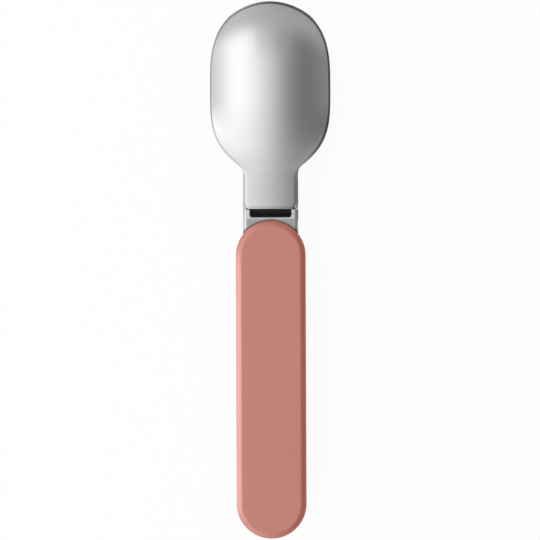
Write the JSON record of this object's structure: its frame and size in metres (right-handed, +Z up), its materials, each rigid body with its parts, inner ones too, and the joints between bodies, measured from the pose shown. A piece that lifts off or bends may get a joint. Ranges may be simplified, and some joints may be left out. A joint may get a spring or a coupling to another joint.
{
  "type": "folding spoon",
  "caption": "Folding travel spoon: a polished steel bowl and neck hinge in a steel bracket inside a flat, round-ended plastic handle, and fold down onto its front.",
  "frame": {"origin": "on the surface that the spoon lies on, below the middle of its length and width", "axes": "+X across the spoon, +Y along it towards the tip of the bowl, +Z up, out of its back; it lies open with the hollow of the bowl down"},
  "size_m": [0.036, 0.16, 0.0148],
  "materials": {
    "polished_steel": "pressed stainless steel, satin polish",
    "pin_steel": "turned stainless steel",
    "spring_steel": "hardened spring steel, plain",
    "black_nylon": "moulded black nylon, dull",
    "rose_plastic": "moulded old-rose plastic, fine matte grain"
  },
  "bodies": {
    "handle": {"handle_shell": "rose_plastic", "handle_cover": "rose_plastic", "hinge_bracket": "polished_steel", "bracket_screw_upper": "pin_steel", "bracket_screw_lower": "pin_steel", "detent_spring": "spring_steel", "spring_rivet_left": "pin_steel", "spring_rivet_right": "pin_steel", "pivot_pin": "pin_steel", "spacer_sleeve": "black_nylon"},
    "spoon": {"spoon_head": "polished_steel"}
  },
  "joints": [
    {"name": "spoon_fold", "type": "hinge", "parent": "handle", "child": "spoon", "pos_m": [0, 0.0178, 0.00276], "axis": [-1, 0, 0], "range_deg": [0, 180]}
  ]
}
